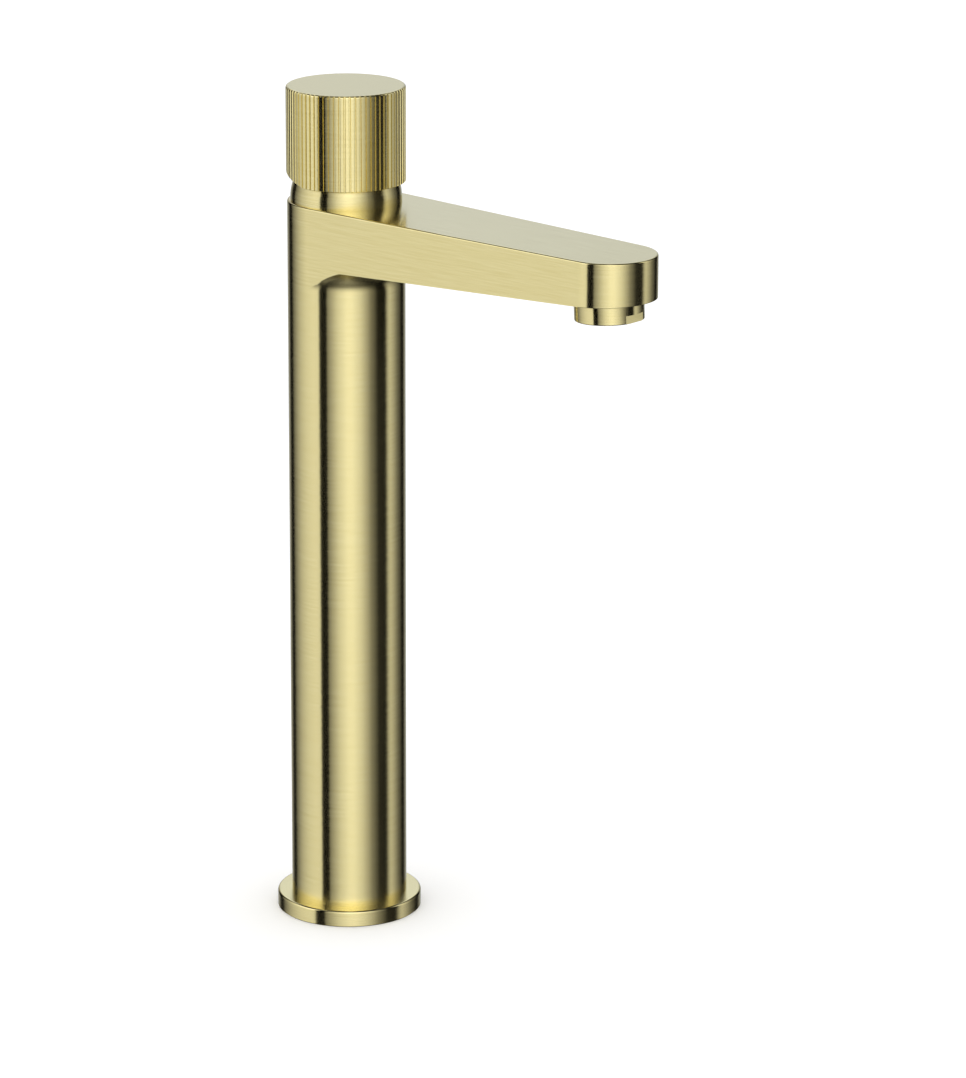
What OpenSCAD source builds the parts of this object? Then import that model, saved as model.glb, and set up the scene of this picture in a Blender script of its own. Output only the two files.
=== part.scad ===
// Tall single-lever bathroom mixer faucet for a basin that stands on a worktop.
// +Z is up and the spout runs along +X. The origin is on the column axis, at the deck.

/* [Body] */
// Diameter of the column
column_d = 42; // [38:0.5:52]
// Height of the flat top face above the deck
body_h = 265.3; // [160:0.1:330]
// Wall of the column along its lower length
column_wall = 3.5; // [2.5:0.1:4.5]
// Wall of the column around the manifold
head_wall = 2.5; // [2:0.1:3.2]

/* [Spout] */
// Column axis to the centre of the rounded tip
spout_reach = 123; // [90:0.5:180]
// Radius of the rounded tip
tip_r = 16.7; // [15.5:0.1:20]
// Depth of the spout at the column axis
spout_h = 22.1; // [20:0.1:27]
// Slope of the underside, which rises towards the tip, in degrees
under_slope = 2.9; // [0:0.1:3.5]
// Wall of the hollow spout
spout_wall = 2.2; // [1.8:0.1:3]
// Radius of the fillet between the underside and the column
arch_r = 25; // [18:0.5:30]
// Column axis to the point where that fillet meets the underside
arch_x = 18.6; // [14:0.1:21]

/* [Base] */
// How far the base ring stands out past the column
ring_lip = 5.3; // [4.5:0.1:12]
// Thickness of the base ring
ring_h = 6; // [5:0.1:9]
// Height of the threaded insert in the column's foot
insert_h = 24; // [22:0.5:32]
// Core radius of the M10 inlet threads
inlet_r = 4.5; // [4.2:0.1:4.7]
// Length of the inlet threads
inlet_len = 12; // [10:0.5:14]
// Core radius of the M8 stud thread
stud_r = 3.4; // [3:0.1:3.6]
// Length of the stud thread
stud_len = 16; // [12:0.5:20]
// Column axis to each inlet's axis
inlet_y = 9.5; // [9.3:0.1:9.8]

/* [Supply tubes] */
// Outside radius of a supply tube
tube_r = 4.5; // [4:0.1:4.6]
// Wall of a supply tube
tube_wall = 1; // [0.6:0.1:1.5]

/* [Knob] */
// Height of the knob
knob_h = 34.2; // [30:0.1:46]
// Gap between the knob's skirt and the top face
knob_gap = 6.8; // [5.5:0.1:9]
// How far the knob stands out past the column
knob_over = 0.25; // [0:0.05:1]
// Number of flutes around the knob
flutes = 72; // [24:1:80]
// Depth of a flute
flute_depth = 0.45; // [0.2:0.05:0.6]
// Height of the plain rim above the flutes
knob_rim = 0.7; // [0.5:0.1:2]
// Thickness of the knob's top
knob_top_t = 3; // [2:0.1:5]
// Slope of the relief under the knob's back, in degrees
relief_slope = 14; // [8:0.5:16]
// Furthest tilt of the knob, in degrees
tilt_max = 13; // [6:0.5:13]

/* [Dome] */
// Width of the top face's rim outside the dome
dome_rim = 1.15; // [0.8:0.05:2]
// Wall of the dome
dome_wall = 1.5; // [1.2:0.1:2]
// Height of the dome's centre, where the knob pivots, above the top face
dome_rise = 0.6; // [0:0.1:1]
// Gap between the dome and the hollow of the knob
dome_gap = 0.6; // [0.4:0.05:0.9]
// Radius of the hole in the dome for the lever
dome_hole_r = 11; // [9.5:0.1:12]
// Depth of the dome's skirt in the body
skirt_h = 5.3; // [4:0.1:6]

/* [Cartridge] */
// Pivot to the ball at the lever's lower end
lever_arm = 12; // [10:0.1:14.5]
// Radius of that ball
ball_r = 2.4; // [2:0.1:2.6]
// Thickness of each ceramic disc
disc_t = 3.5; // [2.8:0.1:4.2]
// Radius of the moving disc
disc_r = 7.3; // [6.5:0.1:7.6]
// Height of the plastic base that carries the ports
port_base_h = 6; // [5:0.1:7.5]
// Wall of the cartridge's housing
housing_wall = 1.9; // [1.5:0.1:2.1]
// Radius of the turning lever carrier in its bearing
rotor_r = 8.5; // [8:0.1:8.8]
// Width of the lever between the carrier's cheeks
lever_w = 6; // [5:0.1:7]
// Radius of the lever's pin
pin_r = 1.5; // [1.2:0.1:1.8]
// Furthest turn of the knob to each side, in degrees
turn_max = 45; // [20:1:50]
// Thickness of the ring that limits the turn
stop_h = 2; // [1.6:0.1:2.6]
// Radius of the thread between the nut and the manifold
nut_r = 15; // [14.5:0.1:15.5]
// Height of the manifold below the cartridge
manifold_foot = 15; // [13.5:0.5:20]

/* [Aerator] */
// Radius of the aerator's shell
aerator_r = 12.05; // [11:0.05:13]
// How far the shell stands out below the spout
aerator_drop = 7; // [5:0.1:9]
// Height of the spanner flats
flat_h = 2.9; // [2:0.1:4]
// Depth of the spanner flats
flat_depth = 0.8; // [0.4:0.05:1.1]

/* [Clearances] */
// Radial clearance where a part turns or slides in another
running = 0.05; // [0.02:0.01:0.1]
// Clearance of parts that are screwed or pushed together
seat = 0.05; // [0.02:0.01:0.1]
// Gap between faces that pass each other
pass = 0.15; // [0.1:0.01:0.2]

/* [Hidden] */

$fn = 96;
brass = [0.85, 0.79, 0.54];
raw_brass = [0.78, 0.66, 0.36];
ceramic = [0.93, 0.93, 0.9];
rubber = [0.12, 0.12, 0.12];
plastic = [0.86, 0.86, 0.84];
steel = [0.72, 0.73, 0.74];
copper = [0.8, 0.5, 0.35];
over = 0.02;                                   // how far a cut runs past a face

column_r = column_d / 2;
lower_bore_r = column_r - column_wall;
head_bore_r = column_r - head_wall;
pivot_z = body_h + dome_rise;
dome_r = column_r - dome_rim;

// Foot: a spigot on the column passes through the base ring
spigot_step = 1;
spigot_lift = 0.5;
foot_r = column_r - spigot_step;
ring_r = column_r + ring_lip;
ring_edge = 0.4;
ring_foot_edge = 0.3;
gasket_t = 1.5;
gasket_rim = 1.6;
gasket_in = 1.8;

// Stack of the cartridge, from the lever's ball downwards and upwards
ball_z = pivot_z - lever_arm;
ball_floor = 1.5;                              // ball's lowest point to the moving disc
carrier_z = ball_z - ball_r - ball_floor;
moving_z = carrier_z - disc_t;
fixed_z = moving_z - disc_t;
floor_z = fixed_z - port_base_h;
carrier_h = 6;
carrier_r = 6.8;
carrier_flat = 6;
carrier_floor = 1;
travel_spare = 0.2;
travel = lever_arm * sin(tilt_max) + travel_spare;
disc_margin = 0.3;
housing_play = 0.1;
fixed_disc_r = disc_r + travel + disc_margin;
cartridge_r = fixed_disc_r + housing_play + housing_wall;
rotor_flange_r = carrier_r + travel + housing_play;
cavity_play = 0.2;
rotor_cavity_r = rotor_flange_r + cavity_play;
flange_gap = 0.5;
flange_z = carrier_z + carrier_h + flange_gap;
flange_t = 2.1;
ledge_z = flange_z + flange_t + housing_play;
shoulder_z = carrier_z + carrier_h;
neck_wall = 1.4;
neck_r = rotor_cavity_r + neck_wall;
neck_top = pivot_z + 1.1;
rotor_top = pivot_z + 4.1;
slot_x = 6.5;                                  // half length of the carrier's slot
tab_reach = 1.8;
tab_r = rotor_r + tab_reach;
tab_angle = 10;
tab_play = 0.3;
stop_play = 0.4;
lug_gap = 0.1;
lug_lift = 0.4;
lug_half = 3;
base_flange_t = 2;
seal_pocket = 1.2;
port_seal_w = 1.4;
outlet_seal_w = 1;
ball_seat_r = 4.2;
ball_seat_h = 1.8;
square = 6;                                    // across the flats of the lever's upper end
square_z = pivot_z + 5.6;
arm_r = 1.9;
eye_drop = 4;
eye_extra = 0.3;
stem_gap = 0.5;
pin_short = 0.5;

// Manifold
seat_z = floor_z - manifold_foot;
manifold_r = head_bore_r - seat;
manifold_top = body_h - skirt_h;
manifold_bore_r = cartridge_r + seat;
socket_h = 9;
port_y = 7;
port_r = 2.3;
outlet_x = 7;
outlet_r = 2.8;
gallery_r = 2.5;
gallery_z = seat_z + 9.5;
pocket_w = 14;
pocket_wall = 2;
pocket_x = manifold_bore_r + pocket_wall;
gallery_low = gallery_z - gallery_r - 0.5;
nut_z = shoulder_z;
nut_run = 3;                                   // thread below the nut, and the height of its hexagon
nut_flats = 0.6;

// Seals of round section
seal_r = 0.75;
ring_seal_r = 0.62;
groove_play = 0.1;
seal_inset = 0.02;
tube_seal_at = tube_r + seat + seal_r;
insert_groove_z = insert_h - socket_h + 2;
manifold_lower_groove = 3.5;
manifold_upper_groove = 1;
dome_groove = 1.5;
dome_seal_slim = 0.15;

// Spout
side_inset = 0.005;                            // the flat sides lie this far inside the round ends
under_z = body_h - spout_h;                    // underside, where it would cross the column axis
slope = tan(under_slope);
taper = asin((column_r - tip_r) / spout_reach);
tip_under_z = under_z + spout_reach * slope;
window_top = manifold_top - 6;
window_low = under_z + spout_wall + 1.4;
cavity_top = body_h - spout_wall;
cavity_start = 2.5;                            // column's face to the start of the hollow
arc_end = 175;                                 // where the fillet's arc ends, in degrees
outlet_boss_r = tip_r + 4;                     // solid floor around the aerator's bore

// Aerator, in the frame of its own tilted axis, z = 0 on the spout's underside
shell_lip = 0.45;
thread_r = aerator_r - shell_lip;
aerator_wall = 1.4;
aerator_bore_r = thread_r - aerator_wall;
aerator_up = 7;
aerator_lead = 2;
lip_h = 1.2;
lip_w = 0.8;
mouth_h = 3;
washer_t = 1.2;
washer_w = 1.5;
screen_t = 0.6;
screen_pitch = 2.9;
screen_hole_r = 0.8;
straightener_pitch = 2.6;
straightener_hole_r = 1;
straightener_t = 4;
straightener_wall = 1.2;
hole_rows = 3;

// Knob
knob_r = column_r + knob_over;
ridge_inset = 0.03;                            // the ridges lie this far inside the plain rim
ridge_r = knob_r - ridge_inset;
knob_z = body_h + knob_gap;
knob_top = knob_z + knob_h;
hollow_r = dome_r + dome_gap;
boss_gap = 0.6;
boss_z = pivot_z + hollow_r + boss_gap;
boss_r = 8.2;
bush_r = 6.2;
knob_wall = 2.2;
inner_r = knob_r - flute_depth - knob_wall;
ceiling_z = knob_top - knob_top_t;
screw_r = 2.5;
screw_len = 10;
screw_z = (boss_z + ceiling_z) / 2;
web_w = 8;
knob_edge = 0.3;
grub_key_r = 1.45;
grub_key_depth = 3;
cap_t = 2.5;
cap_sink = 0.15;

// A closed ring of round section about the Z axis
module o_ring(at_r, section_r) {
    rotate_extrude() translate([at_r, 0]) circle(r = section_r, $fn = 32);
}

module ring(outer, inner, h) {
    difference() {
        cylinder(r = outer, h = h);
        translate([0, 0, -over]) cylinder(r = inner, h = h + 2 * over);
    }
}

// Repeats its children at the hot and the cold side
module both_sides(y) {
    for (side = [-1, 1]) translate([0, side * y, 0]) children();
}

// Outline of the spout seen from above, drawn in by inset, from x_from to the tip
module spout_sides(inset, x_from) {
    near = column_r - inset - side_inset;
    far = tip_r - inset - side_inset;
    near_x = near * sin(taper);
    near_y = near * cos(taper);
    far_x = spout_reach + far * sin(taper);
    far_y = far * cos(taper);
    start = max(x_from, near_x);
    start_y = near_y + (far_y - near_y) * (start - near_x) / (far_x - near_x);
    polygon([[start, -start_y], [far_x, -far_y], [far_x, far_y], [start, start_y]]);
}

// Side view of the space under the spout: the sloping underside and the fillet to the column
module under_profile(lift) {
    steps = 14;
    centre_x = arch_x + arch_r * sin(under_slope);
    centre_z = under_z + arch_x * slope - arch_r * cos(under_slope);
    first = 90 + under_slope;
    far_x = spout_reach + 2 * column_r;
    arc = [for (i = [0 : steps]) let (a = first + (arc_end - first) * i / steps)
        [centre_x + arch_r * cos(a), centre_z + arch_r * sin(a) + lift]];
    polygon(concat([[far_x, under_z + far_x * slope + lift]], arc,
        [[arc[steps][0], centre_z - arch_r], [far_x, centre_z - arch_r]]));
}

module under_space(lift) {
    rotate([90, 0, 0]) translate([0, 0, -2 * column_r])
        linear_extrude(4 * column_r) under_profile(lift);
}

module spout_blank() {
    low = under_z - arch_r / 2;
    difference() {
        translate([0, 0, low]) union() {
            linear_extrude(body_h - low) spout_sides(0, 0);
            translate([spout_reach, 0, 0]) cylinder(r = tip_r, h = body_h - low);
        }
        under_space(0);
    }
}

// Hollow of the spout, which carries the mixed water from the manifold's window to the aerator
module spout_hollow() {
    start = column_r + cavity_start;
    low = under_z;
    difference() {
        translate([0, 0, low]) linear_extrude(cavity_top - low) union() {
            spout_sides(spout_wall, start);
            translate([spout_reach, 0]) circle(r = tip_r - spout_wall);
        }
        under_space(spout_wall);
        aerator_frame() translate([0, 0, -aerator_lead])
            ring(outlet_boss_r, thread_r + seat - over, aerator_up + aerator_lead);
    }
    translate([manifold_r - head_wall, -pocket_w / 2, window_low])
        cube([start - manifold_r + 2 * head_wall, pocket_w, window_top - window_low]);
}

module aerator_frame() {
    translate([spout_reach, 0, tip_under_z]) rotate([0, -under_slope, 0]) children();
}

module faucet_body() {
    color(brass) difference() {
        union() {
            translate([0, 0, ring_h]) cylinder(r = column_r, h = body_h - ring_h);
            translate([0, 0, spigot_lift]) cylinder(r = foot_r, h = ring_h);
            spout_blank();
        }
        cylinder(r = lower_bore_r, h = body_h);
        translate([0, 0, seat_z]) cylinder(r = head_bore_r, h = body_h);
        spout_hollow();
        aerator_frame() translate([0, 0, -aerator_lead])
            cylinder(r = thread_r + seat, h = aerator_up + washer_t + aerator_lead);
    }
}

module base_ring() {
    color(brass) difference() {
        rotate_extrude() polygon([[foot_r + seat, 0], [ring_r - ring_foot_edge, 0],
            [ring_r, ring_foot_edge], [ring_r, ring_h - ring_edge], [ring_r - ring_edge, ring_h],
            [foot_r + seat, ring_h]]);
        translate([0, 0, -over]) ring(ring_r - gasket_rim, foot_r + gasket_in, gasket_t + over);
    }
}

module base_gasket() {
    color(rubber) ring(ring_r - gasket_rim, foot_r + gasket_in, gasket_t);
}

module base_insert() {
    color(raw_brass) difference() {
        cylinder(r = lower_bore_r - seat, h = insert_h);
        translate([0, 0, -over]) cylinder(r = stud_r, h = stud_len + over);
        both_sides(inlet_y) {
            translate([0, 0, -over]) cylinder(r = inlet_r, h = inlet_len + over);
            cylinder(r = tube_r - tube_wall, h = insert_h);
            translate([0, 0, insert_h - socket_h]) cylinder(r = tube_r + seat, h = socket_h + over);
            translate([0, 0, insert_h - 2 * seal_r - groove_play])
                cylinder(r = tube_seal_at + seal_r + seat, h = 3 * seal_r);
        }
        translate([0, 0, insert_groove_z])
            ring(column_r, lower_bore_r - seat - 2 * ring_seal_r, 2 * ring_seal_r + groove_play);
    }
}

module base_insert_seal() {
    color(rubber) translate([0, 0, insert_groove_z + groove_play / 2 + ring_seal_r])
        o_ring(lower_bore_r - seal_inset - ring_seal_r, ring_seal_r);
}

module supply_tube(side) {
    low = insert_h - socket_h;
    color(copper) translate([0, side * inlet_y, low])
        ring(tube_r, tube_r - tube_wall, seat_z + socket_h - pass - low);
}

// Hot is on the left of someone who faces the spout
module supply_tube_hot() { supply_tube(-1); }
module supply_tube_cold() { supply_tube(1); }

module supply_tube_seals() {
    color(rubber) for (z = [insert_h - seal_r - groove_play / 2, seat_z + seal_r + groove_play / 2])
        both_sides(inlet_y) translate([0, 0, z]) o_ring(tube_seal_at, seal_r);
}

module manifold() {
    groove_r = manifold_r - 2 * ring_seal_r;
    color(raw_brass) difference() {
        translate([0, 0, seat_z]) cylinder(r = manifold_r, h = manifold_top - seat_z);
        translate([0, 0, floor_z]) cylinder(r = manifold_bore_r, h = manifold_top);
        translate([0, 0, nut_z - nut_run]) cylinder(r = nut_r + seat, h = manifold_top);
        both_sides(inlet_y) {
            translate([0, 0, seat_z - over]) cylinder(r = tube_r + seat, h = socket_h + over);
            translate([0, 0, seat_z - over])
                cylinder(r = tube_seal_at + seal_r + seat, h = 2 * seal_r + groove_play);
        }
        both_sides(port_y) translate([0, 0, seat_z + socket_h - seal_r])
            cylinder(r = port_r, h = floor_z);
        translate([outlet_x, 0, gallery_z - gallery_r]) cylinder(r = outlet_r, h = floor_z);
        translate([outlet_x, 0, gallery_z]) rotate([0, 90, 0]) cylinder(r = gallery_r, h = column_r);
        translate([pocket_x, -pocket_w / 2, gallery_low])
            cube([column_r, pocket_w, window_top - gallery_low]);
        for (z = [seat_z + manifold_lower_groove, window_top + manifold_upper_groove])
            translate([0, 0, z]) ring(column_r, groove_r, 2 * ring_seal_r + groove_play);
    }
}

module manifold_seals() {
    color(rubber) for (z = [seat_z + manifold_lower_groove, window_top + manifold_upper_groove])
        translate([0, 0, z + groove_play / 2 + ring_seal_r])
            o_ring(head_bore_r - seal_inset - ring_seal_r, ring_seal_r);
}

module ports(h) {
    both_sides(port_y) cylinder(r = port_r, h = h);
    translate([outlet_x, 0, 0]) cylinder(r = outlet_r, h = h);
}

module cartridge_port_base() {
    color(plastic) translate([0, 0, floor_z]) difference() {
        union() {
            cylinder(r = cartridge_r, h = base_flange_t);
            cylinder(r = fixed_disc_r, h = port_base_h);
        }
        translate([0, 0, -over]) ports(port_base_h + 2 * over);
        both_sides(port_y) translate([0, 0, -over])
            cylinder(r = port_r + port_seal_w, h = seal_pocket + over);
        translate([outlet_x, 0, -over]) cylinder(r = outlet_r + outlet_seal_w, h = seal_pocket + over);
    }
}

module cartridge_port_seals() {
    color(rubber) translate([0, 0, floor_z]) {
        both_sides(port_y) ring(port_r + port_seal_w - seat, port_r, seal_pocket);
        translate([outlet_x, 0, 0]) ring(outlet_r + outlet_seal_w - seat, outlet_r, seal_pocket);
    }
}

module fixed_ceramic_disc() {
    color(ceramic) translate([0, 0, fixed_z]) difference() {
        cylinder(r = fixed_disc_r, h = disc_t);
        translate([0, 0, -over]) ports(disc_t + 2 * over);
    }
}

module cartridge_housing() {
    color(plastic) difference() {
        union() {
            translate([0, 0, floor_z + base_flange_t])
                cylinder(r = cartridge_r, h = shoulder_z - floor_z - base_flange_t);
            translate([0, 0, shoulder_z]) cylinder(r = neck_r, h = neck_top - shoulder_z);
        }
        cylinder(r = fixed_disc_r + seat, h = carrier_z + pass);
        cylinder(r = rotor_cavity_r, h = ledge_z);
        cylinder(r = rotor_r + running, h = body_h * 2);
    }
}

module cartridge_nut() {
    color(raw_brass) translate([0, 0, nut_z]) difference() {
        union() {
            cylinder(r = nut_r, h = manifold_top - nut_z);
            cylinder(r = nut_r - nut_flats, h = manifold_top - nut_z + nut_run, $fn = 6);
        }
        translate([0, 0, -over]) cylinder(r = neck_r + seat, h = body_h);
    }
}

// A sector of a disc, about the direction -X, used for the turn's limits
module sector(r, half_angle, h) {
    steps = 8;
    linear_extrude(h) polygon(concat([[0, 0]], [for (i = [-steps : steps])
        let (a = 180 + half_angle * i / steps) [2 * r * cos(a), 2 * r * sin(a)]]));
}

module temperature_stop_ring() {
    color(rubber) translate([0, 0, neck_top]) difference() {
        ring(neck_r, rotor_r + stop_play, stop_h);
        translate([0, 0, -over]) intersection() {
            cylinder(r = tab_r + pass, h = stop_h + 2 * over);
            sector(tab_r, turn_max + tab_angle + 1, stop_h + 2 * over);
        }
    }
}

module dome_cover() {
    inner_r = dome_r - dome_wall;
    skirt_r = head_bore_r - seat;
    color(brass) difference() {
        union() {
            intersection() {
                translate([0, 0, pivot_z]) sphere(r = dome_r);
                translate([0, 0, body_h]) cylinder(r = column_r, h = 2 * column_r);
            }
            translate([0, 0, manifold_top]) cylinder(r = skirt_r, h = skirt_h + over);
        }
        intersection() {
            translate([0, 0, pivot_z]) sphere(r = inner_r);
            translate([0, 0, body_h + dome_wall]) cylinder(r = column_r, h = 2 * column_r);
        }
        translate([0, 0, manifold_top - over])
            cylinder(r = skirt_r - dome_wall, h = skirt_h + 2 * dome_wall);
        translate([0, 0, pivot_z]) cylinder(r = dome_hole_r, h = column_r);
        translate([0, 0, manifold_top + dome_groove])
            ring(column_r, skirt_r - 2 * (ring_seal_r - dome_seal_slim), 2 * ring_seal_r + groove_play);
    }
}

module dome_seal() {
    section_r = ring_seal_r - dome_seal_slim;
    color(rubber) translate([0, 0, manifold_top + dome_groove + groove_play / 2 + section_r])
        o_ring(head_bore_r - seal_inset - section_r, section_r);
}

module aerator_shell() {
    color(brass) aerator_frame() difference() {
        union() {
            translate([0, 0, -aerator_drop]) cylinder(r = aerator_r, h = aerator_drop - seat);
            translate([0, 0, -aerator_drop]) cylinder(r = thread_r, h = aerator_drop + aerator_up);
        }
        translate([0, 0, lip_h - aerator_drop])
            cylinder(r = aerator_bore_r, h = aerator_drop + 2 * aerator_up);
        translate([0, 0, -aerator_drop - over]) cylinder(r = aerator_bore_r - lip_w, h = mouth_h);
        for (side = [0, 180]) rotate([0, 0, side])
            translate([aerator_r - flat_depth, -aerator_r, -aerator_drop - over])
                cube([aerator_r, 2 * aerator_r, flat_h + over]);
    }
}

module aerator_washer() {
    color(rubber) aerator_frame() translate([0, 0, aerator_up])
        ring(thread_r, aerator_bore_r - washer_w, washer_t);
}

// Rows of small round holes in a hexagonal pattern
module hole_pattern(pitch, rows, r, h) {
    for (i = [-rows : rows], j = [-rows : rows]) {
        x = pitch * (i + j / 2);
        y = pitch * j * sin(60);
        if (norm([x, y]) < pitch * rows + over) translate([x, y, 0]) cylinder(r = r, h = h);
    }
}

module aerator_screen() {
    color(steel) aerator_frame() translate([0, 0, aerator_up - screen_t]) difference() {
        cylinder(r = aerator_bore_r - seat, h = screen_t);
        translate([0, 0, -over])
            hole_pattern(screen_pitch, hole_rows, screen_hole_r, screen_t + 2 * over);
    }
}

module aerator_straightener() {
    low = lip_h - aerator_drop;
    color(plastic) aerator_frame() translate([0, 0, low]) difference() {
        cylinder(r = aerator_bore_r - seat, h = aerator_up - screen_t - low);
        translate([0, 0, straightener_t])
            cylinder(r = aerator_bore_r - straightener_wall, h = 2 * aerator_drop);
        translate([0, 0, -over])
            hole_pattern(straightener_pitch, hole_rows, straightener_hole_r, straightener_t + 2 * over);
    }
}

// Turns with the knob in the housing's bearing and holds the lever between its cheeks
module lever_carrier() {
    lug_y = carrier_flat + lug_gap;
    lug_low = carrier_z + lug_lift;
    slot_w = lever_w + 2 * pass;
    color(plastic) difference() {
        union() {
            translate([0, 0, flange_z]) cylinder(r = rotor_flange_r, h = flange_t);
            translate([0, 0, flange_z]) cylinder(r = rotor_r, h = rotor_top - flange_z);
            intersection() {
                translate([0, 0, lug_low]) cylinder(r = rotor_flange_r, h = flange_z - lug_low);
                for (side = [-1, 1])
                    translate([-lug_half, side > 0 ? lug_y : -lug_y - column_r, lug_low])
                        cube([2 * lug_half, column_r, flange_z - lug_low]);
            }
            intersection() {
                translate([0, 0, neck_top + tab_play]) cylinder(r = tab_r, h = stop_h - 2 * tab_play);
                translate([0, 0, neck_top + tab_play]) sector(tab_r, tab_angle, stop_h - 2 * tab_play);
            }
        }
        translate([-slot_x, -slot_w / 2, flange_z - over])
            cube([2 * slot_x, slot_w, rotor_top]);
        translate([0, 0, pivot_z]) rotate([90, 0, 0])
            cylinder(r = pin_r + over, h = 3 * rotor_r, center = true);
    }
}

module lever_pin() {
    color(steel) translate([0, 0, pivot_z]) rotate([90, 0, 0])
        cylinder(r = pin_r, h = 2 * (rotor_r - pin_short), center = true);
}

module moving_ceramic_disc() {
    color(ceramic) translate([0, 0, moving_z]) difference() {
        cylinder(r = disc_r, h = disc_t);
        translate([0, 0, -over]) cylinder(r = ball_seat_r, h = ball_seat_h);
    }
}

module disc_carrier() {
    pocket = ball_r + pass;
    color(plastic) difference() {
        intersection() {
            translate([0, 0, carrier_z]) cylinder(r = carrier_r, h = carrier_h);
            translate([-carrier_r, -carrier_flat, carrier_z])
                cube([2 * carrier_r, 2 * carrier_flat, carrier_h]);
        }
        translate([-pocket, -pocket, carrier_z + carrier_floor])
            cube([2 * pocket, 2 * pocket, carrier_h]);
    }
}

module lever_stem() {
    half = lever_w / 2;
    color(steel) difference() {
        union() {
            translate([0, 0, ball_z]) sphere(r = ball_r);
            translate([0, 0, ball_z]) cylinder(r = arm_r, h = lever_arm - pin_r);
            translate([-half - eye_extra, -half, pivot_z - eye_drop])
                cube([lever_w + 2 * eye_extra, lever_w, square_z - pivot_z + eye_drop + over]);
            translate([-square / 2, -square / 2, square_z])
                cube([square, square, ceiling_z - stem_gap - square_z]);
        }
        translate([0, 0, pivot_z]) rotate([90, 0, 0])
            cylinder(r = pin_r + running, h = 2 * lever_w, center = true);
    }
}

module knob_bush() {
    color(raw_brass) difference() {
        translate([0, 0, boss_z]) cylinder(r = bush_r, h = ceiling_z - boss_z);
        translate([-square / 2 - seat, -square / 2 - seat, boss_z - over])
            cube([square + 2 * seat, square + 2 * seat, knob_h]);
        translate([0, 0, screw_z]) rotate([0, -90, 0]) cylinder(r = screw_r + seat, h = column_r);
    }
}

// Outline of the fluted side: ridges of the full radius with a rounded valley between each pair
module fluted_outline() {
    pitch = 360 / flutes;
    polygon([for (i = [0 : flutes - 1], p = [[-0.28, 0], [0.28, 0], [0.4, 0.7], [0.5, 1], [0.6, 0.7]])
        let (a = (i + p[0]) * pitch, r = ridge_r - flute_depth * p[1]) [r * cos(a), r * sin(a)]]);
}

module knob_blank() {
    translate([0, 0, knob_z]) linear_extrude(knob_h - knob_rim + knob_edge / 2) fluted_outline();
    translate([0, 0, knob_top - knob_rim]) rotate_extrude() polygon([[0, 0], [knob_r, 0],
        [knob_r, knob_rim - knob_edge], [knob_r - knob_edge, knob_rim], [0, knob_rim]]);
}

module knob() {
    color(brass) difference() {
        knob_blank();
        difference() {
            union() {
                translate([0, 0, knob_z - over]) cylinder(r = inner_r, h = ceiling_z - knob_z + over);
                translate([0, 0, pivot_z]) sphere(r = hollow_r);
            }
            translate([0, 0, boss_z]) cylinder(r = boss_r, h = knob_h);
            translate([-inner_r - knob_wall / 2, -web_w / 2, boss_z]) cube([inner_r, web_w, knob_h]);
        }
        translate([0, 0, boss_z - boss_gap]) cylinder(r = bush_r + seat, h = ceiling_z - boss_z + boss_gap);
        translate([0, 0, screw_z]) rotate([0, -90, 0]) cylinder(r = screw_r + seat, h = 2 * knob_r);
        translate([0, 0, knob_z]) rotate([0, relief_slope, 0])
            translate([-3 * knob_r, -2 * knob_r, -knob_r]) cube([3 * knob_r, 4 * knob_r, knob_r]);
    }
}

module knob_grub_screw() {
    color(steel) translate([-square / 2, 0, screw_z]) rotate([0, -90, 0]) difference() {
        cylinder(r = screw_r, h = screw_len);
        translate([0, 0, screw_len - grub_key_depth])
            cylinder(r = grub_key_r, h = grub_key_depth + over, $fn = 6);
    }
}

module knob_screw_cap() {
    face_x = knob_r - flute_depth - cap_sink;
    color(brass) translate([cap_t - face_x, 0, screw_z]) rotate([0, -90, 0])
        cylinder(r = screw_r, h = cap_t);
}

faucet_body();
base_ring();
base_gasket();
base_insert();
base_insert_seal();
supply_tube_hot();
supply_tube_cold();
supply_tube_seals();
manifold();
manifold_seals();
cartridge_port_base();
cartridge_port_seals();
fixed_ceramic_disc();
cartridge_housing();
cartridge_nut();
temperature_stop_ring();
dome_cover();
dome_seal();
aerator_shell();
aerator_washer();
aerator_screen();
aerator_straightener();
lever_carrier();
lever_pin();
moving_ceramic_disc();
disc_carrier();
lever_stem();
knob_bush();
knob();
knob_grub_screw();
knob_screw_cap();
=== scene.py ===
# Tall single-lever bathroom mixer faucet in brushed brass, standing on a pale floor.
# Metres, +Z up, spout along +X, origin on the column's axis at the deck.
import bpy
from math import asin, atan2, cos, degrees, hypot, pi, radians, sin, sqrt, tan
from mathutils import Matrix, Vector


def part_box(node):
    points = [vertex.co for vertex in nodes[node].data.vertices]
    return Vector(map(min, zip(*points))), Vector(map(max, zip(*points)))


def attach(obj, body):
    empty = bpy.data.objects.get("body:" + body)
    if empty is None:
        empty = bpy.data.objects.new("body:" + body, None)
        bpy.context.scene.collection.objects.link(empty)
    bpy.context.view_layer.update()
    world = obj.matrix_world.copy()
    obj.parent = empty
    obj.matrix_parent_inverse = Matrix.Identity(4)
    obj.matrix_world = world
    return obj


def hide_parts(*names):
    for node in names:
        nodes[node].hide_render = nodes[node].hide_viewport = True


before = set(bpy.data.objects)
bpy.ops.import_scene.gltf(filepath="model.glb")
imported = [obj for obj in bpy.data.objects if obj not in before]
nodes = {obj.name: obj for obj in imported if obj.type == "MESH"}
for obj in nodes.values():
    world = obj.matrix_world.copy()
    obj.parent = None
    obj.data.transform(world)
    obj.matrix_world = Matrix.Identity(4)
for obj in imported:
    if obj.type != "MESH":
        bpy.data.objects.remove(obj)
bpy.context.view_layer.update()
bpy.ops.object.select_all(action="DESELECT")

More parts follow.
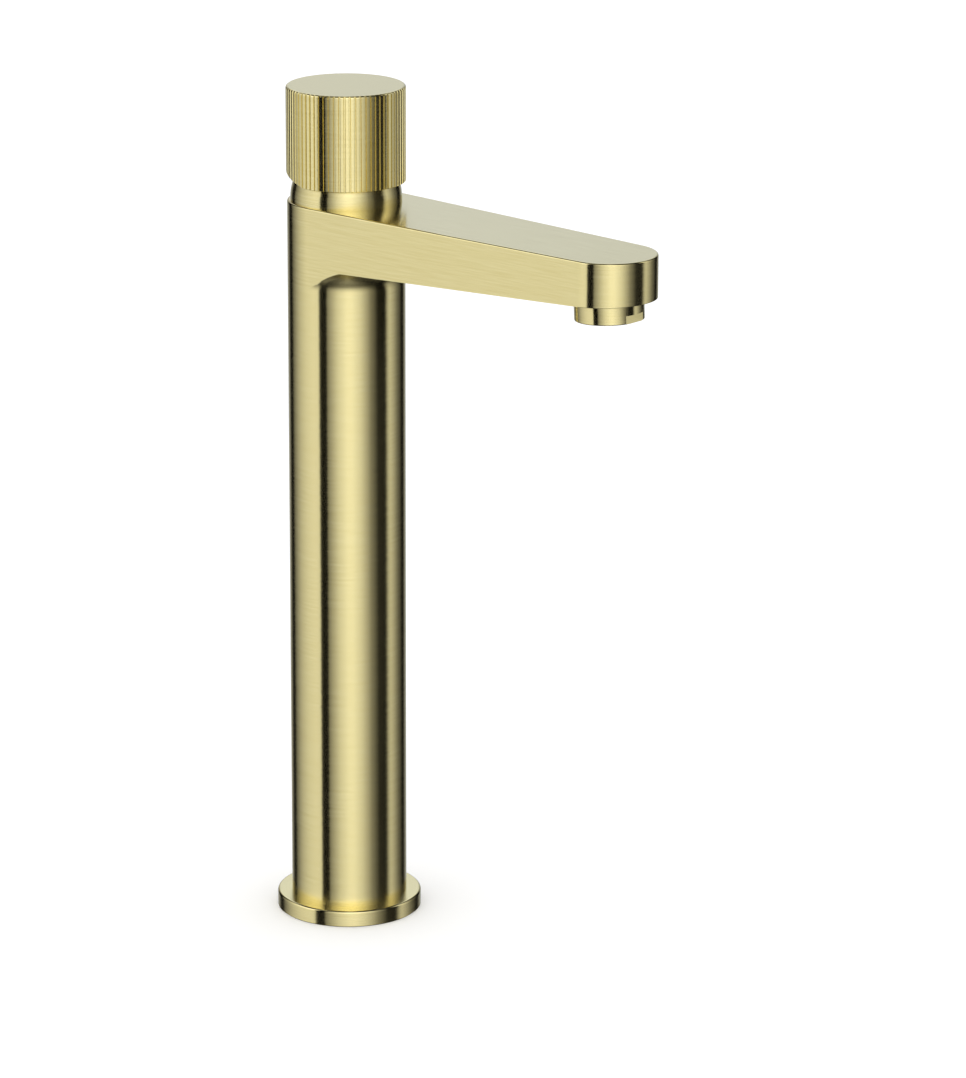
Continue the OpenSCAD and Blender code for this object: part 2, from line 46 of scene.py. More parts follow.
# Camera: a long lens in front of the faucet and to its right, a little above the knob.
camera_distance = 1.7497
camera_azimuth = 43.71
camera_height = 0.6601
camera_pitch = 16.13
camera_yaw = 0.98
bpy.ops.object.camera_add(
    location=(camera_distance * sin(radians(camera_azimuth)),
              -camera_distance * cos(radians(camera_azimuth)), camera_height),
    rotation=(radians(90 - camera_pitch), 0, radians(camera_azimuth - camera_yaw)))
camera = bpy.context.active_object
camera.name = "camera"
camera.data.sensor_width = 36
camera.data.lens = 168.83
camera.data.shift_x = 0.0485
camera.data.shift_y = -0.0362
bpy.context.scene.camera = camera
bpy.context.scene.view_settings.view_transform = "Standard"


# Studio: a pale sweep and large soft panels, with gaps between the panels that brushed metal
# shows as dark bands. The panels are in the world's light: a brightness by direction around the
# faucet, times a brightness by height, with a dark gap above and below, then a dim ceiling and floor.
def add_node(tree, kind, inputs=None, **settings):
    """One node with its settings, and its inputs set to values or linked to sockets."""
    node = tree.nodes.new(kind)
    for key, value in settings.items():
        setattr(node, key, value)
    for key, value in (inputs or {}).items():
        if isinstance(value, bpy.types.NodeSocket):
            tree.links.new(value, node.inputs[key])
        else:
            node.inputs[key].default_value = value
    return node


def set_stops(node, stops):
    """Gives a colour ramp, which has two stops to start with, its (position, colour) stops."""
    elements = node.color_ramp.elements
    while len(elements) < len(stops):
        elements.new(0.5)
    for element, (position, colour) in zip(elements, stops):
        element.position = position
        element.color = (*colour, 1)


# Degrees around the faucet from the camera, to the viewer's right, and the light there as a share
# of the strongest. The wall at the back is a little cooler than the panels.
panel_strength = 1.25
wall = (0.56, 0.60, 0.70)
wall_shade = (0.43, 0.45, 0.50)
panels = [(-180, wall), (-168, wall_shade), (-156, 0.22), (-148, 0.06), (-144, 0.0), (-133, 0.0),
          (-129, 0.11), (-104, 0.49), (-86, 0.68), (-74, 0.75), (-66, 0.77), (-57, 0.72), (-55, 0.0),
          (-41, 0.0), (-38, 0.22), (-16, 0.72), (0, 0.96), (10, 0.96), (26, 0.71), (48, 0.20),
          (63, 0.015), (81, 0.0), (87, 0.36), (93, 0.54), (116, 0.145), (134, 0.0), (144, 0.0),
          (150, 0.15), (162, (0.33, 0.35, 0.38)), (180, wall)]
# Degrees above the horizon, and the share there
heights = [(-90, 0.24), (-60, 0.22), (-47, 0.01), (-42, 0.01), (-28, 0.75), (-18, 0.97), (-10, 1.0),
           (19, 1.0), (26, 1.7), (40, 1.7), (45, 0.8), (49, 0.0), (53, 0.0), (64, 0.42), (90, 0.42)]
sweep_light = 1.25

world = bpy.data.worlds.new("studio")
bpy.context.scene.world = world
world.use_nodes = True
tree = world.node_tree
tree.nodes.clear()
place = add_node(tree, "ShaderNodeTexCoord")
axes = add_node(tree, "ShaderNodeSeparateXYZ", {0: place.outputs["Generated"]})
turn = add_node(tree, "ShaderNodeMath", {0: axes.outputs["Y"], 1: axes.outputs["X"]}, operation="ARCTAN2")
aside = add_node(tree, "ShaderNodeMath", {0: turn.outputs[0], 1: radians(camera_azimuth - 90)},
                 operation="SUBTRACT")
wrapped = add_node(tree, "ShaderNodeMath", {0: aside.outputs[0], 1: pi, 2: -pi}, operation="WRAP")
around = add_node(tree, "ShaderNodeMath", {0: wrapped.outputs[0], 1: 1 / (2 * pi), 2: 0.5},
                  operation="MULTIPLY_ADD")
panel_ramp = add_node(tree, "ShaderNodeValToRGB", {0: around.outputs[0]})
set_stops(panel_ramp, [(edge / 360 + 0.5, level if isinstance(level, tuple) else [level] * 3)
                       for edge, level in panels])
lift = add_node(tree, "ShaderNodeMath", {0: axes.outputs["Z"]}, operation="ARCSINE")
upwards = add_node(tree, "ShaderNodeMath", {0: lift.outputs[0], 1: 1 / pi, 2: 0.5},
                   operation="MULTIPLY_ADD")
height_ramp = add_node(tree, "ShaderNodeValToRGB", {0: upwards.outputs[0]})
set_stops(height_ramp, [(edge / 180 + 0.5, [level] * 3) for edge, level in heights])
light = add_node(tree, "ShaderNodeVectorMath", {0: panel_ramp.outputs[0], 1: height_ramp.outputs[0]},
                 operation="MULTIPLY")
panels_light = add_node(tree, "ShaderNodeBackground", {"Color": light.outputs[0],
                                                      "Strength": panel_strength})
sweep = add_node(tree, "ShaderNodeBackground", {"Color": (1, 1, 1, 1), "Strength": sweep_light})
path = add_node(tree, "ShaderNodeLightPath")
mixed = add_node(tree, "ShaderNodeMixShader", {0: path.outputs["Is Glossy Ray"], 1: sweep.outputs[0],
                                               2: panels_light.outputs[0]})
add_node(tree, "ShaderNodeOutputWorld", {0: mixed.outputs[0]})

# The sweep: a pale matt floor that doesn't show in the metal.
floor_size = 30
bpy.ops.mesh.primitive_plane_add(size=floor_size)
floor = bpy.context.active_object
floor.name = "sweep"
floor.visible_glossy = False
paper = bpy.data.materials.new("matt_paper_sweep")
paper.use_nodes = True
paper.node_tree.nodes["Principled BSDF"].inputs["Base Color"].default_value = (0.93, 0.93, 0.93, 1)
paper.node_tree.nodes["Principled BSDF"].inputs["Roughness"].default_value = 0.9
paper.node_tree.nodes["Principled BSDF"].inputs["Specular IOR Level"].default_value = 0
floor.data.materials.append(paper)


# Base ring: a turned brass disc under the column's foot, with a broken edge and a recess for its
# gasket. The column's spigot passes through it and holds it down. Its side and its face are
# brushed round, and then plated with the same pale brass as the rest.
def turned(name, profile, closed=True, steps=180):
    """A turned piece: a ring at the profile's first (radius, height), extruded and resized from
    point to point. A closed profile comes back to its start, and an open one is capped."""
    radius, height = profile[0]
    if bpy.context.mode != "OBJECT":
        bpy.ops.object.mode_set(mode="OBJECT")
    bpy.ops.mesh.primitive_circle_add(vertices=steps, radius=radius, location=(0, 0, height),
                                      fill_type="NOTHING" if closed else "NGON")
    piece = bpy.context.active_object
    piece.name = name
    bpy.ops.object.transform_apply()
    bpy.ops.object.mode_set(mode="EDIT")
    bpy.ops.mesh.select_all(action="SELECT")
    for next_radius, next_height in profile[1:] + (profile[:1] if closed else []):
        bpy.ops.mesh.extrude_region_move(
            TRANSFORM_OT_translate={"value": (0, 0, next_height - height)})
        bpy.ops.transform.resize(value=(next_radius / radius, next_radius / radius, 1),
                                 center_override=(0, 0, next_height))
        radius, height = next_radius, next_height
    bpy.ops.mesh.select_all(action="SELECT")
    bpy.ops.mesh.remove_doubles(threshold=weld)
    bpy.ops.mesh.normals_make_consistent(inside=False)
    bpy.ops.object.mode_set(mode="OBJECT")
    return piece


def arc(centre, radius, first, last, steps=5):
    """Points of an arc in a profile, from one angle to another, in degrees from outwards to up."""
    angles = [radians(first + (last - first) * i / steps) for i in range(steps + 1)]
    return [(centre[0] + radius * cos(a), centre[1] + radius * sin(a)) for a in angles]


def take(piece):
    """Leaves edit mode, and makes one piece the selected and active one."""
    if bpy.context.mode != "OBJECT":
        bpy.ops.object.mode_set(mode="OBJECT")
    bpy.ops.object.select_all(action="DESELECT")
    piece.select_set(True)
    bpy.context.view_layer.objects.active = piece


def pick(piece, kind, wanted):
    """In edit mode, selects each vertex, edge or face that wanted(corners, normal) accepts."""
    take(piece)
    bpy.ops.object.mode_set(mode="EDIT")
    bpy.ops.mesh.select_mode(type=kind)
    bpy.ops.mesh.select_all(action="DESELECT")
    bpy.ops.object.mode_set(mode="OBJECT")
    mesh = piece.data
    if kind == "VERT":
        for vertex in mesh.vertices:
            vertex.select = wanted([vertex.co], vertex.normal)
    else:
        for item in mesh.edges if kind == "EDGE" else mesh.polygons:
            item.select = wanted([mesh.vertices[i].co for i in item.vertices],
                                 item.normal if kind == "FACE" else None)
    bpy.ops.object.mode_set(mode="EDIT")


def finish(piece, materials, material_of, slot, body, *replaced):
    """Gives a piece its materials by face, smooth shading with crisp edges, and its place in the
    assembly: the body it rides on and the nodes it stands for. slot, its finish's slot, is not used."""
    take(piece)
    for material in materials:
        piece.data.materials.append(material)
    for face in piece.data.polygons:
        face.material_index = material_of(face.center, face.normal)
    bpy.ops.object.shade_smooth_by_angle(angle=radians(crisp_angle))
    weighted = piece.modifiers.new("weighted_normals", "WEIGHTED_NORMAL")
    weighted.keep_sharp = True
    bpy.ops.object.modifier_apply(modifier=weighted.name)
    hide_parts(*replaced)
    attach(piece, body)


def linear(code):
    """A colour's sRGB hex value as linear red, green, blue and alpha."""
    parts = [int(code[i:i + 2], 16) / 255 for i in (1, 3, 5)]
    return [p / 12.92 if p <= 0.04045 else ((p + 0.055) / 1.055) ** 2.4 for p in parts] + [1]


def brushed_brass(name, lines, spread, gloss=0.18, brushing=1.0, waver=0.05, rings=False):
    """Pale brass plating over brushed brass. lines is how often the hairlines' shade changes along
    X, Y and Z, in changes per metre, and spread is the way in which they spread a reflection. Real
    hairlines are about 0.05 mm apart: these are as coarse as they need to be to show. gloss is the
    roughness, brushing how far it is drawn out, and waver how far the hairlines turn it aside, which
    frays the edge of a reflection. rings is for a face that was turned: its lines run round the Z
    axis and change with the radius."""
    material = bpy.data.materials.new(name)
    material.use_nodes = True
    tree = material.node_tree
    shader = tree.nodes["Principled BSDF"]
    place = add_node(tree, "ShaderNodeTexCoord")
    if rings:
        flat = add_node(tree, "ShaderNodeVectorMath", {0: place.outputs["Object"], 1: (1, 1, 0)},
                        operation="MULTIPLY")
        radius = add_node(tree, "ShaderNodeVectorMath", {0: flat.outputs[0]}, operation="LENGTH")
        along = add_node(tree, "ShaderNodeCombineXYZ", {0: radius.outputs["Value"]})
        source = along.outputs[0]
    else:
        source = place.outputs["Object"]
    stretched = add_node(tree, "ShaderNodeMapping", {"Vector": source, "Scale": lines})
    hairlines = add_node(tree, "ShaderNodeTexNoise", {"Vector": stretched.outputs[0], "Scale": 1.0,
                                                      "Detail": 3.0, "Roughness": 0.6})
    tone = add_node(tree, "ShaderNodeValToRGB", {0: hairlines.outputs["Fac"]})
    set_stops(tone, [(0.3, linear("#E8DA9D")[:3]), (0.7, linear("#F1E5AC")[:3])])
    polish = add_node(tree, "ShaderNodeMapRange", {"Value": hairlines.outputs["Fac"], "From Min": 0.3,
                                                   "From Max": 0.7, "To Min": gloss - 0.02,
                                                   "To Max": gloss + 0.02})
    surface = add_node(tree, "ShaderNodeNewGeometry")
    aside = add_node(tree, "ShaderNodeVectorMath", {0: hairlines.outputs["Color"], 1: (waver, waver, 0),
                                                    2: (-waver / 2, -waver / 2, 0)},
                     operation="MULTIPLY_ADD")
    leaning = add_node(tree, "ShaderNodeVectorMath", {0: surface.outputs["Normal"], 1: aside.outputs[0]},
                       operation="ADD")
    facing = add_node(tree, "ShaderNodeVectorMath", {0: leaning.outputs[0]}, operation="NORMALIZE")
    relief = add_node(tree, "ShaderNodeBump", {"Height": hairlines.outputs["Fac"], "Strength": 1.0,
                                               "Distance": hairline_depth, "Normal": facing.outputs[0]})
    across = add_node(tree, "ShaderNodeCombineXYZ", {0: spread[0], 1: spread[1], 2: spread[2]})
    tree.links.new(tone.outputs[0], shader.inputs["Base Color"])
    tree.links.new(polish.outputs[0], shader.inputs["Roughness"])
    tree.links.new(relief.outputs[0], shader.inputs["Normal"])
    tree.links.new(across.outputs[0], shader.inputs["Tangent"])
    shader.inputs["Metallic"].default_value = 1
    shader.inputs["Anisotropic"].default_value = brushing
    return material


mm = 0.001
weld = 1e-7
crisp_angle = 30
hairline_depth = 0.0000008
ring_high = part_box("base_ring")[1]
gasket_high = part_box("base_gasket")[1]
column_radius = -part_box("faucet_body")[0].x
spigot_radius = column_radius - 1 * mm
ring_bore = spigot_radius + 0.05 * mm
ring_radius = ring_high.x
ring_height = ring_high.z
ring_round = 0.9 * mm
recess_rim = gasket_high.x
recess_bore = spigot_radius + 1.8 * mm
recess_height = gasket_high.z

brass_round = brushed_brass("brass_brushed_round", (80, 80, 3400), (0, 0, 1))
brass_turned = brushed_brass("brass_turned_face", (2000, 1, 1), (1, 0, 0), waver=0.02, rings=True)
brass_edge = brushed_brass("brass_polished_edge", (300, 300, 300), (0, 0, 1), gloss=0.08, brushing=0.0,
                           waver=0.0)


# How much of a face's normal points up or down, on a level face, and at least on a rounded edge
level_face = 0.99
edge_face = 0.07


def ground(middle, normal):
    """Which of a piece's three finishes a face has: the side's, the top's, or a rounded edge's."""
    if abs(normal.z) > level_face:
        return 1
    return 2 if abs(normal.z) > edge_face else 0


ring = turned("base_ring_turned", [
    (ring_bore, 0), (recess_bore, 0), (recess_bore, recess_height), (recess_rim, recess_height),
    (recess_rim, 0), (ring_radius - 0.3 * mm, 0), (ring_radius, 0.3 * mm)]
    + arc((ring_radius - ring_round, ring_height - ring_round), ring_round, 0, 90)
    + [(ring_bore, ring_height)])
finish(ring, [brass_round, brass_turned, brass_edge], ground, "brushed_brass", "body", "base_ring")


# Body: one brass casting, bored, ground and brushed: a round column, and a flat spout that tapers
# to a round tip. The spout's flat sides run on tangents from the column to the tip, its underside
# rises a little towards the tip, and a fillet runs round the column under it.
def cut(piece, tool, operation="DIFFERENCE"):
    """Cuts the tool from the piece, or joins it on, and removes the tool."""
    take(piece)
    boolean = piece.modifiers.new("cut", "BOOLEAN")
    boolean.operation = operation
    boolean.solver = "EXACT"
    boolean.object = tool
    bpy.ops.object.modifier_apply(modifier=boolean.name)
    bpy.data.objects.remove(tool)


def turned_metal(name, dark, light, roughness):
    """Bare metal as it comes off the lathe: fine rings that change along the axis, about 0.3 mm
    apart, which is what a finishing cut leaves, with a slight stain over them."""
    material = bpy.data.materials.new(name)
    material.use_nodes = True
    tree = material.node_tree
    shader = tree.nodes["Principled BSDF"]
    place = add_node(tree, "ShaderNodeTexCoord")
    rings = add_node(tree, "ShaderNodeMapping", {"Vector": place.outputs["Object"],
                                                 "Scale": (80, 80, 3300)})
    marks = add_node(tree, "ShaderNodeTexNoise", {"Vector": rings.outputs[0], "Scale": 1.0,
                                                  "Detail": 2.0})
    stain = add_node(tree, "ShaderNodeTexNoise", {"Vector": place.outputs["Object"], "Scale": 180.0,
                                                  "Detail": 4.0})
    shade = add_node(tree, "ShaderNodeMath", {0: marks.outputs["Fac"], 1: stain.outputs["Fac"]},
                     operation="MULTIPLY")
    tone = add_node(tree, "ShaderNodeValToRGB", {0: shade.outputs[0]})
    set_stops(tone, [(0.12, linear(dark)[:3]), (0.4, linear(light)[:3])])
    polish = add_node(tree, "ShaderNodeMapRange", {"Value": stain.outputs["Fac"], "From Min": 0.3,
                      "From Max": 0.7, "To Min": roughness - 0.05, "To Max": roughness + 0.08})
    relief = add_node(tree, "ShaderNodeBump", {"Height": marks.outputs["Fac"], "Strength": 0.4,
                                               "Distance": 0.00001})
    tree.links.new(tone.outputs[0], shader.inputs["Base Color"])
    tree.links.new(polish.outputs[0], shader.inputs["Roughness"])
    tree.links.new(relief.outputs[0], shader.inputs["Normal"])
    shader.inputs["Metallic"].default_value = 1
    return material


body_low, body_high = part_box("faucet_body")
body_top = body_high.z
tip_radius = 16.7 * mm
tip_reach = body_high.x - tip_radius
spout_depth = 22.1 * mm
under_slope = radians(2.9)
under_height = body_top - spout_depth
fillet_radius = 9 * mm
flare_over = 0.2 * mm
lower_bore = column_radius - 3.5 * mm
head_bore = column_radius - 2.5 * mm
tip_under = under_height + tip_reach * tan(under_slope)
far = 4 * column_radius

# The spout's outline is drawn at its lowest height: the two tangent points on the column, and the
# tip's arc between them, in steps of 2 degrees like the column's own facets.
blank_low = under_height - 14 * mm
tangent = radians(88)
bpy.ops.mesh.primitive_circle_add(vertices=180, radius=tip_radius, location=(tip_reach, 0, blank_low))
body_spout = bpy.context.active_object
bpy.ops.object.transform_apply()
pick(body_spout, "VERT", lambda corners, normal: corners[0].x < tip_reach + 0.3 * mm)
bpy.ops.mesh.delete(type="VERT")
bpy.ops.object.mode_set(mode="OBJECT")
for side in (1, -1):
    pick(body_spout, "VERT", lambda corners, normal: (
        corners[0].x < tip_reach + 1 * mm and corners[0].y * side > 0))
    bpy.ops.mesh.extrude_region_move(TRANSFORM_OT_translate={"value": (
        (column_radius - tip_radius) * cos(tangent) - tip_reach,
        side * (column_radius - tip_radius) * sin(tangent), 0)})
    bpy.ops.object.mode_set(mode="OBJECT")
pick(body_spout, "VERT", lambda corners, normal: True)
bpy.ops.mesh.edge_face_add()
bpy.ops.mesh.extrude_region_move(TRANSFORM_OT_translate={"value": (0, 0, body_top - blank_low)})
bpy.ops.mesh.select_all(action="SELECT")
bpy.ops.mesh.normals_make_consistent(inside=False)
bpy.ops.object.mode_set(mode="OBJECT")

# The space under the spout is a box whose top slopes with the underside. The column's flare is
# taken out of that box, and so it stays on the spout, as the fillet that the casting has there.
flare_edge = column_radius + fillet_radius
flare_low = under_height + flare_edge * tan(under_slope) + flare_over - fillet_radius
space_length = tip_reach + far
space_low = blank_low - column_radius
bpy.ops.mesh.primitive_cube_add(size=1, location=(
    space_length / 2, 0, (space_low + under_height) / 2),
    scale=(space_length, far, under_height - space_low))
under_space = bpy.context.active_object
bpy.ops.object.transform_apply()
pick(under_space, "VERT", lambda corners, normal: (
    corners[0].x > tip_reach and corners[0].z > blank_low))
bpy.ops.transform.translate(value=(0, 0, space_length * tan(under_slope)))
flare = turned("column_flare", [(spigot_radius, space_low - 1 * mm), (spigot_radius, flare_low)]
    + arc((flare_edge, flare_low), fillet_radius, 180, 90, 24)
    + [(flare_edge, body_top), (0.5 * spigot_radius, body_top)], closed=False)
cut(under_space, flare)
cut(body_spout, under_space)

body = turned("faucet_body_cast", [
    (spigot_radius, body_low.z), (spigot_radius, ring_height), (column_radius, ring_height),
    (column_radius, body_top)], closed=False)
cut(body, body_spout, "UNION")
pick(body, "FACE", lambda corners, normal: True)
bpy.ops.mesh.dissolve_limited(angle_limit=radians(0.5))
bpy.ops.object.mode_set(mode="OBJECT")

# Bores: the lower bore for the tubes, and the head bore for the manifold
manifold_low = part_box("manifold")[0]
cut(body, turned("bore", [(lower_bore, -1 * mm), (lower_bore, manifold_low.z),
                          (head_bore, manifold_low.z), (head_bore, body_top + 1 * mm)], closed=False))


def to_tip(piece):
    """Moves a piece made about the Z axis to the spout's tip, square to the underside."""
    take(piece)
    piece.rotation_euler = (0, -under_slope, 0)
    piece.location = (tip_reach, 0, tip_under)
    bpy.ops.object.transform_apply()
    return piece


aerator_bore = 11.65 * mm
aerator_seat = 8.2 * mm
cut(body, to_tip(turned("bore", [(aerator_bore, -2 * mm), (aerator_bore, aerator_seat)],
                        closed=False)))

# Edges: the grinding leaves a small round along the top, and a broken edge along the underside
top_round = 0.7 * mm
under_round = 0.2 * mm
near = 0.01 * mm
pick(body, "EDGE", lambda corners, normal: all(
    abs(c.z - body_top) < near and hypot(c.x, c.y) > head_bore + 1 * mm for c in corners))
bpy.ops.mesh.bevel(offset=top_round, segments=5, profile=0.5, affect="EDGES")
bpy.ops.object.mode_set(mode="OBJECT")
pick(body, "EDGE", lambda corners, normal: all(
    abs(c.z - under_height - c.x * tan(under_slope)) < near and hypot(c.x, c.y) > flare_edge
    and hypot(c.x - tip_reach, c.y) > aerator_bore + 1 * mm for c in corners))
bpy.ops.mesh.bevel(offset=under_round, segments=3, profile=0.5, affect="EDGES")
bpy.ops.object.mode_set(mode="OBJECT")

brass_lengthwise = brushed_brass("brass_brushed_lengthwise", (60, 2200, 60), (0, 1, 0), gloss=0.11,
                                 waver=0.02)
brass_raw = turned_metal("brass_raw_machined", "#A88243", "#C9A463", 0.30)
finish(body, [brass_round, brass_lengthwise, brass_edge, brass_raw],
       lambda middle, normal: (3 if hypot(middle.x, middle.y) < column_radius - 0.5 * mm
                               and middle.z < body_top - near else
                               2 if middle.z > body_top - top_round
                               and level_face > normal.z > edge_face else
                               int(abs(normal.z) > 0.9)),
       "brushed_brass", "body", "faucet_body")


# Aerator: a turned brass shell that screws into the tip, with a rounded mouth and two flats for a
# spanner. It carries a plastic insert and a steel screen.
shell_radius = 12.05 * mm
shell_drop = 7 * mm
shell_round = 0.35 * mm
thread_radius = 11.6 * mm
shell_bore = 10.2 * mm
mouth_radius = 9.4 * mm
lip = 1.2 * mm
flat_height = 2.9 * mm
flat_depth = 0.8 * mm
aerator = turned("aerator_shell_turned",
    arc((shell_radius - shell_round, -shell_drop + shell_round), shell_round, -90, 0)
    + [(shell_radius, -0.05 * mm), (thread_radius, -0.05 * mm), (thread_radius, 7 * mm),
       (shell_bore, 7 * mm), (shell_bore, lip - shell_drop), (mouth_radius, lip - shell_drop)]
    + arc((mouth_radius + shell_round, -shell_drop + shell_round), shell_round, 180, 270))
for side in (1, -1):
    bpy.ops.mesh.primitive_cube_add(size=1, location=(
        side * (shell_radius - flat_depth + column_radius / 2), 0,
        flat_height - shell_drop - column_radius / 2),
        scale=(column_radius, far, column_radius))
    flat = bpy.context.active_object
    bpy.ops.object.transform_apply()
    cut(aerator, flat)
to_tip(aerator)
finish(aerator, [brass_round], lambda middle, normal: 0, "brushed_brass", "body", "aerator_shell")


# Dome: a brass cover that is spun and polished round, with a skirt that pushes into the body over
# its seal. The knob's hollow turns and tilts over it, about the dome's own centre.
dome_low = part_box("dome_cover")[0]
seal_low, seal_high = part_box("dome_seal")
pivot_height = 265.9 * mm
dome_radius = 19.85 * mm
dome_wall = 1.5 * mm
dome_hole = 11 * mm
skirt_radius = head_bore - 0.05 * mm
seal_groove = skirt_radius - 0.94 * mm
centre = (0, pivot_height)
low_angle = degrees(asin((body_top - pivot_height) / dome_radius))
inner_radius = dome_radius - dome_wall
inner_low = degrees(asin((body_top + dome_wall - pivot_height) / inner_radius))
dome = turned("dome_cover_spun",
    arc(centre, dome_radius, low_angle, degrees(atan2(sqrt(dome_radius**2 - dome_hole**2), dome_hole)), 40)
    + arc(centre, inner_radius, degrees(atan2(sqrt(inner_radius**2 - dome_hole**2), dome_hole)),
          inner_low, 24)
    + [(skirt_radius - dome_wall, body_top + dome_wall), (skirt_radius - dome_wall, dome_low.z),
       (skirt_radius, dome_low.z), (skirt_radius, seal_low.z - near), (seal_groove, seal_low.z - near),
       (seal_groove, seal_high.z + near), (skirt_radius, seal_high.z + near), (skirt_radius, body_top)])
finish(dome, [brass_round], lambda middle, normal: 0, "brushed_brass", "body", "dome_cover")


# Knob: a turned brass cap with a rounded upper edge, whose side is cut into 72 flat ribs by
# grooves that run out through that edge. It is hollow, to clear the dome, and its rim is cut away
# at the back, where it comes down when the knob is tilted.
knob_low, knob_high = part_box("knob")
knob_radius = knob_high.x
flute_count = 72
flute_depth = 0.45 * mm
points_a_flute = 10
knob_round = 0.9 * mm
rim_round = 0.25 * mm
knob_wall = 18.6 * mm
hollow_radius = dome_radius + 0.6 * mm
bush_low, bush_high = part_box("knob_bush")
boss_radius = 8.2 * mm
bush_bore = bush_high.x + 0.05 * mm
rim_angle = degrees(asin((knob_low.z - pivot_height) / hollow_radius))
wall_angle = degrees(atan2(sqrt(hollow_radius**2 - knob_wall**2), knob_wall))
outside = (arc((knob_radius - rim_round, knob_low.z + rim_round), rim_round, -90, 0, 3)
           + arc((knob_radius - knob_round, knob_high.z - knob_round), knob_round, 0, 90, 6))
knob = turned("knob_fluted",
    list(reversed(outside))
    + arc(centre, hollow_radius, rim_angle, wall_angle, 4)
    + [(knob_wall, bush_high.z), (boss_radius, bush_high.z), (boss_radius, bush_low.z),
       (bush_bore, bush_low.z), (bush_bore, bush_high.z)],
    closed=False, steps=flute_count * points_a_flute)
flute_pitch = 2 * pi / flute_count
groove_radius = knob_radius - flute_depth
groove_start = 0.35
groove_end = 0.65
for ring_at, ring_z in outside:
    if ring_at > groove_radius:
        pick(knob, "VERT", lambda corners, normal: (
            abs(corners[0].z - ring_z) < weld and hypot(*corners[0].xy) > ring_at - near
            and groove_start < (atan2(corners[0].y, corners[0].x) / flute_pitch) % 1 < groove_end))
        bpy.ops.transform.resize(value=(groove_radius / ring_at, groove_radius / ring_at, 1),
                                 center_override=(0, 0, ring_z))
        bpy.ops.object.mode_set(mode="OBJECT")

# The web behind the boss, with the hole for the grub screw and its cap
screw_low, screw_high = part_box("knob_grub_screw")
cap_low, cap_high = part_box("knob_screw_cap")
web_width = 8 * mm
web_end = bush_bore + 0.6 * mm
web_start = (knob_wall + knob_radius) / 2
screw_height = (screw_low.z + screw_high.z) / 2
screw_bore = cap_high.y + 0.05 * mm
bpy.ops.mesh.primitive_cube_add(size=1, location=(
    -(web_start + web_end) / 2, 0, (bush_low.z + bush_high.z) / 2 + 0.5 * mm),
    scale=(web_start - web_end, web_width, bush_high.z - bush_low.z + 1 * mm))
web = bpy.context.active_object
bpy.ops.object.transform_apply()
cut(knob, web, "UNION")
bpy.ops.mesh.primitive_cylinder_add(vertices=48, radius=screw_bore, depth=far,
                                    location=(-far / 2, 0, screw_height), rotation=(0, pi / 2, 0))
drill = bpy.context.active_object
bpy.ops.object.transform_apply()
cut(knob, drill)

# The relief under the back of the rim
relief = radians(14)
bpy.ops.mesh.primitive_cube_add(size=1, location=(-column_radius * 2, 0, -column_radius / 2),
                                scale=(column_radius * 4, far, column_radius))
wedge = bpy.context.active_object
bpy.ops.object.transform_apply()
wedge.rotation_euler = (0, relief, 0)
wedge.location = (0, 0, knob_low.z)
bpy.ops.object.transform_apply()
cut(knob, wedge)
finish(knob, [brass_round, brass_turned, brass_edge, brass_raw],
       lambda middle, normal: (3 if hypot(middle.x, middle.y) < knob_wall + 1 * mm
                               and middle.z < knob_high.z - near else ground(middle, normal)),
       "brushed_brass", "lever", "knob")


# Screw cap: a small turned plug with a broken edge, plated like the knob. It is pressed into the
# hole at the back of the knob, over the grub screw, a little below the grooves.
cap_round = 0.2 * mm
cap = turned("knob_screw_cap_turned", [
    (cap_high.y, 0), (cap_high.y, cap_high.x - cap_low.x - cap_round),
    (cap_high.y - cap_round, cap_high.x - cap_low.x)], closed=False, steps=48)
cap.rotation_euler = (0, -pi / 2, 0)
cap.location = (cap_high.x, 0, screw_height)
bpy.ops.object.transform_apply()
finish(cap, [brass_round], lambda middle, normal: 0, "brushed_brass", "lever", "knob_screw_cap")


# Foot, hidden in the ring and the column: a machined brass insert with the stud's thread and the
# two hose inlets, sealed by a rubber ring, and a flat rubber gasket in the ring's recess.
def dress(material, *names):
    """Gives CAD nodes, whose shapes are kept, the finish of the real piece."""
    for name in names:
        for slot in nodes[name].material_slots:
            slot.material = material


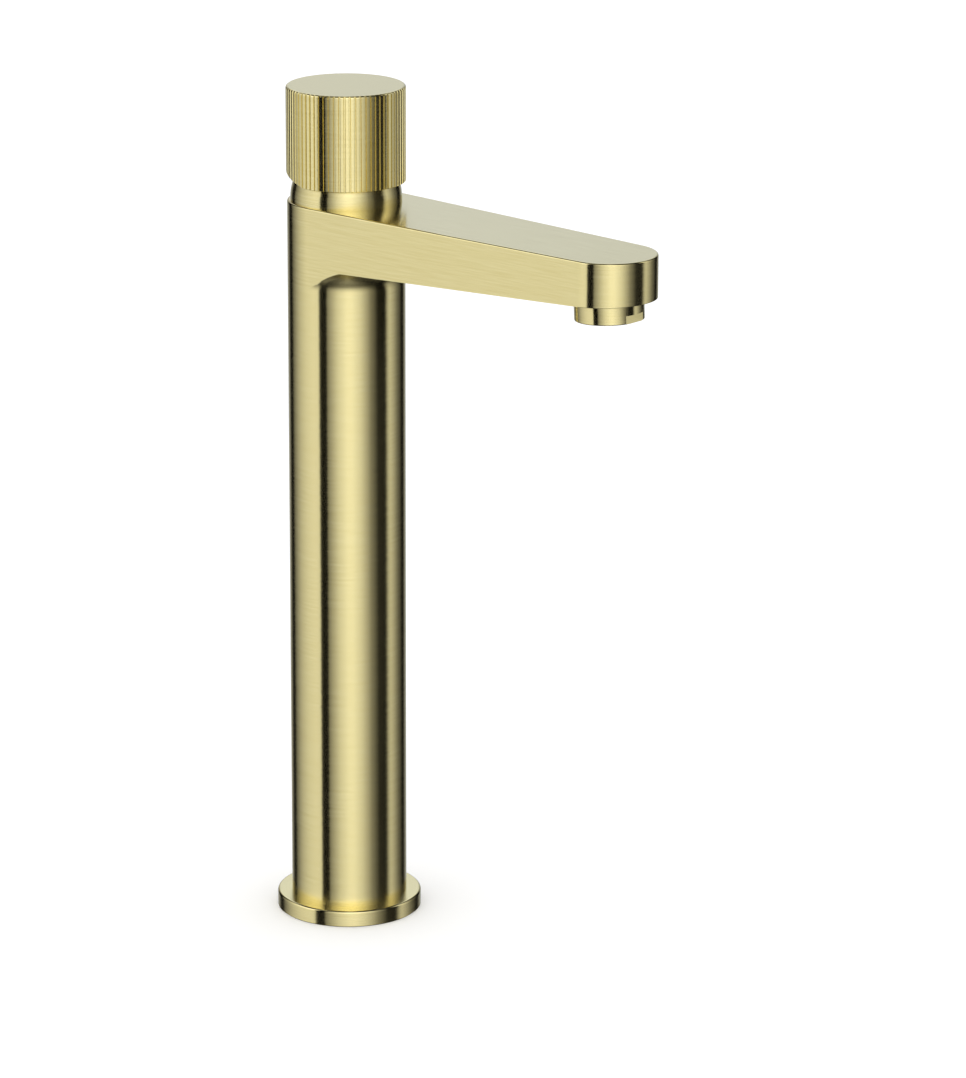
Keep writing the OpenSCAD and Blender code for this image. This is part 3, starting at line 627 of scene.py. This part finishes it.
def moulded(name, dark, light, roughness, grain, depth):
    """Moulded rubber, plastic or fired ceramic: an even colour with a faint mottle and a grain of
    that size in millimetres, which the mould or the firing leaves."""
    material = bpy.data.materials.new(name)
    material.use_nodes = True
    tree = material.node_tree
    shader = tree.nodes["Principled BSDF"]
    place = add_node(tree, "ShaderNodeTexCoord")
    mottle = add_node(tree, "ShaderNodeTexNoise", {"Vector": place.outputs["Object"], "Scale": 220.0,
                                                   "Detail": 3.0})
    tone = add_node(tree, "ShaderNodeValToRGB", {0: mottle.outputs["Fac"]})
    set_stops(tone, [(0.3, linear(dark)[:3]), (0.7, linear(light)[:3])])
    texture = add_node(tree, "ShaderNodeTexNoise", {"Vector": place.outputs["Object"],
                                                    "Scale": 1 / (grain * mm), "Detail": 2.0})
    polish = add_node(tree, "ShaderNodeMapRange", {"Value": texture.outputs["Fac"], "From Min": 0.3,
                      "From Max": 0.7, "To Min": roughness - 0.06, "To Max": roughness + 0.06})
    relief = add_node(tree, "ShaderNodeBump", {"Height": texture.outputs["Fac"], "Strength": 0.5,
                                               "Distance": depth * mm})
    tree.links.new(tone.outputs[0], shader.inputs["Base Color"])
    tree.links.new(polish.outputs[0], shader.inputs["Roughness"])
    tree.links.new(relief.outputs[0], shader.inputs["Normal"])
    return material


rubber = moulded("epdm_rubber_moulded", "#161616", "#222221", 0.62, 0.4, 0.02)
dress(brass_raw, "base_insert")
dress(rubber, "base_gasket", "base_insert_seal")


# Water ways: two drawn copper tubes between the insert and the manifold, which is turned from
# brass bar. Each end is sealed by a rubber ring.
copper = turned_metal("copper_drawn_tube", "#9C5B3C", "#C98462", 0.34)
dress(copper, "supply_tube_hot", "supply_tube_cold")
dress(brass_raw, "manifold")
dress(rubber, "supply_tube_seals", "manifold_seals")


# Cartridge: moulded plastic housing and carriers around two lapped ceramic discs, held down on the
# manifold by a turned brass nut. The grey pieces are glass-filled.
white_acetal = moulded("acetal_moulded_white", "#E4E2DB", "#EEECE6", 0.42, 0.5, 0.01)
grey_plastic = moulded("glass_filled_plastic_grey", "#7D8082", "#8F9294", 0.55, 0.3, 0.02)
ceramic = moulded("alumina_ceramic_lapped", "#EDEBE3", "#F7F5EF", 0.16, 0.2, 0.002)
dress(white_acetal, "cartridge_housing", "lever_carrier")
dress(grey_plastic, "cartridge_port_base", "disc_carrier", "temperature_stop_ring")
dress(ceramic, "fixed_ceramic_disc", "moving_ceramic_disc")
dress(brass_raw, "cartridge_nut")
dress(rubber, "cartridge_port_seals")


# Lever: a stainless stem on a stainless pin, and the brass bush and the grub screw that hold the
# knob on it. A rubber ring seals the dome's skirt in the body.
steel = turned_metal("stainless_turned", "#8F9294", "#C6C8C9", 0.28)
dress(steel, "lever_pin", "lever_stem", "knob_grub_screw")
dress(brass_raw, "knob_bush")
dress(rubber, "dome_seal")


# Aerator's insert: a steel screen under a rubber washer, and the plastic grid that straightens the
# water, which shows in the mouth.
dress(steel, "aerator_screen")
dress(grey_plastic, "aerator_straightener")
dress(rubber, "aerator_washer")
